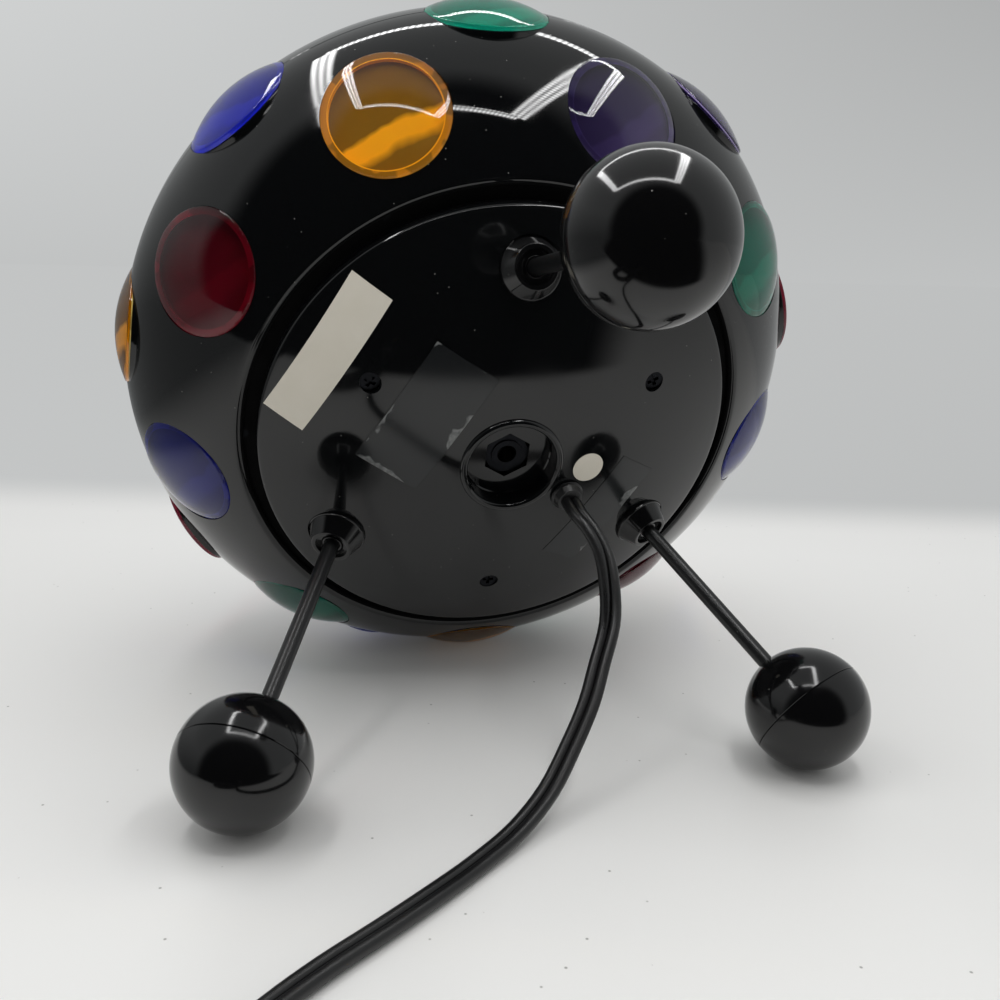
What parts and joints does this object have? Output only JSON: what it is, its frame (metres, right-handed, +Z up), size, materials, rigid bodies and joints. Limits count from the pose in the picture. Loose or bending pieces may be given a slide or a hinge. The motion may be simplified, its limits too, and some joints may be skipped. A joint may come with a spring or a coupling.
{
  "type": "disco light",
  "caption": "Round black disco lamp with coloured lenses, a turning shell over a fixed cap, splayed legs with ball feet, and a mains cord with plug.",
  "frame": {"origin": "on the floor, under the middle of the lying lamp's box, cord and plug left out", "axes": "+Z up from the floor; the lamp lies on two ball feet and one lens, its crown towards +Y and its legs towards -Y, so the shell's axis leans up from +Y; +X to the right seen from the legs' side"},
  "size_m": [0.2645, 0.35, 0.1848],
  "materials": {
    "shell_black": "high gloss",
    "cap_black": "high gloss",
    "leg_black": "gloss",
    "ball_black": "high gloss",
    "lens_amber": "translucent, polished",
    "lens_green": "translucent, polished",
    "lens_blue": "translucent, polished",
    "lens_red": "translucent, polished",
    "lens_violet": "translucent, polished",
    "screw_steel": "plated",
    "nut_steel": "plated",
    "nipple_brass": "plain",
    "ring_plastic": "moulded",
    "pinion_plastic": "moulded",
    "chassis_steel": "sheet",
    "motor_steel": "plated can",
    "holder_ceramic": "unglazed",
    "bulb_brass": "plain",
    "bulb_glass": "clear",
    "block_plastic": "moulded",
    "wire_plastic": "insulation",
    "cord_black": "satin",
    "plug_black": "satin",
    "blade_brass": "plain",
    "tie_black": "matte"
  },
  "bodies": {
    "base": {"base_cap": "cap_black", "cap_screws": "screw_steel", "hub_nut": "nut_steel", "hub_nipple": "nipple_brass", "chassis": "chassis_steel", "motor": "motor_steel", "lampholder": "holder_ceramic", "bulb_cap": "bulb_brass", "bulb_glass": "bulb_glass", "terminal_block": "block_plastic", "lead_wires": "wire_plastic", "cord_bush": "cord_black", "mains_cord": "cord_black", "cord_coil": "cord_black", "coil_tie": "tie_black", "plug_body": "plug_black", "plug_blades": "blade_brass", "leg_rod_1": "leg_black", "leg_collar_1": "leg_black", "ball_inner_1": "ball_black", "ball_outer_1": "ball_black", "leg_rod_2": "leg_black", "leg_collar_2": "leg_black", "ball_inner_2": "ball_black", "ball_outer_2": "ball_black", "leg_rod_3": "leg_black", "leg_collar_3": "leg_black", "ball_inner_3": "ball_black", "ball_outer_3": "ball_black"},
    "shell": {"lower_shell": "shell_black", "upper_shell": "shell_black", "turn_ring": "ring_plastic", "ring_screws": "screw_steel", "lens_low_amber": "lens_amber", "lens_low_green": "lens_green", "lens_low_blue": "lens_blue", "lens_low_red": "lens_red", "lens_low_violet": "lens_violet", "lens_mid_amber": "lens_amber", "lens_mid_green": "lens_green", "lens_mid_blue": "lens_blue", "lens_mid_red": "lens_red", "lens_mid_violet": "lens_violet", "lens_high_amber": "lens_amber", "lens_high_green": "lens_green", "lens_high_blue": "lens_blue", "lens_high_red": "lens_red", "lens_high_violet": "lens_violet", "lens_top_amber": "lens_amber", "lens_top_green": "lens_green", "lens_top_blue": "lens_blue", "lens_top_red": "lens_red", "lens_top_violet": "lens_violet"},
    "pinion": {"drive_pinion": "pinion_plastic"}
  },
  "joints": [
    {"name": "shell_spin", "type": "hinge", "parent": "base", "child": "shell", "pos_m": [0.00056, 0.03504, 0.09184], "axis": [0, 0.9326, 0.3609], "continuous": true},
    {"name": "pinion_spin", "type": "hinge", "parent": "base", "child": "pinion", "pos_m": [-0.03841, 0.01005, 0.05804], "axis": [0, 0.9326, 0.3609], "continuous": true}
  ],
  "couplings": [
    {"joint": "pinion_spin", "follows": "shell_spin", "ratio": 6}
  ]
}
